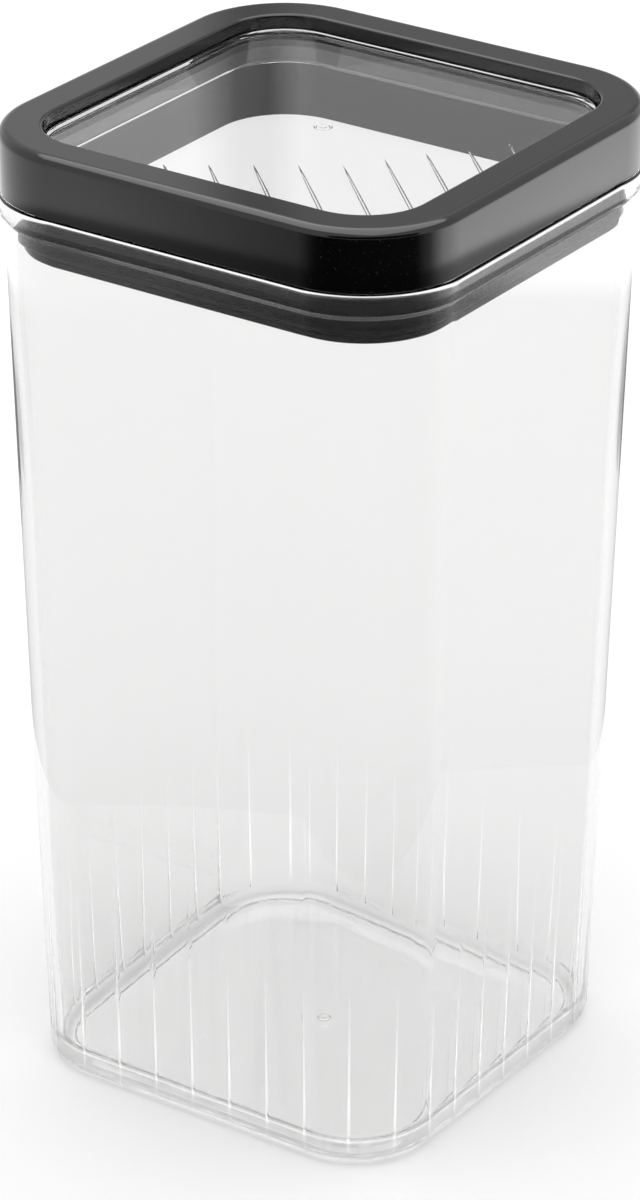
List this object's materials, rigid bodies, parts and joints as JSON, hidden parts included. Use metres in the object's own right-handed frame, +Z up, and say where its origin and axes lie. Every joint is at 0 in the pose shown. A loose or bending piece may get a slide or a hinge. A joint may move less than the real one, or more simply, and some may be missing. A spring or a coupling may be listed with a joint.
{
  "type": "lidded canister",
  "caption": "Tall square clear plastic food canister with a fluted foot and a black push-in lid that has a recessed clear window and a finned seal.",
  "frame": {"origin": "middle of the base, on the surface that the jar stands on", "axes": "+Z up along the canister's height, -Y out of the front side, +X to the right"},
  "size_m": [0.1006, 0.1006, 0.2],
  "materials": {
    "jar_clear": "clear moulded plastic, polished",
    "frame_black": "glossy moulded plastic",
    "window_clear": "clear moulded plastic, polished",
    "plug_black": "satin moulded plastic",
    "seal_silicone": "smooth silicone"
  },
  "bodies": {
    "jar": {"jar": "jar_clear"},
    "lid": {"lid_frame": "frame_black", "lid_window": "window_clear", "plug_ring": "plug_black", "seal_ring": "seal_silicone"}
  },
  "joints": [
    {"name": "lid_lift", "type": "slide", "parent": "jar", "child": "lid", "axis": [0, 0, 1], "range_m": [0, 0.04]}
  ]
}
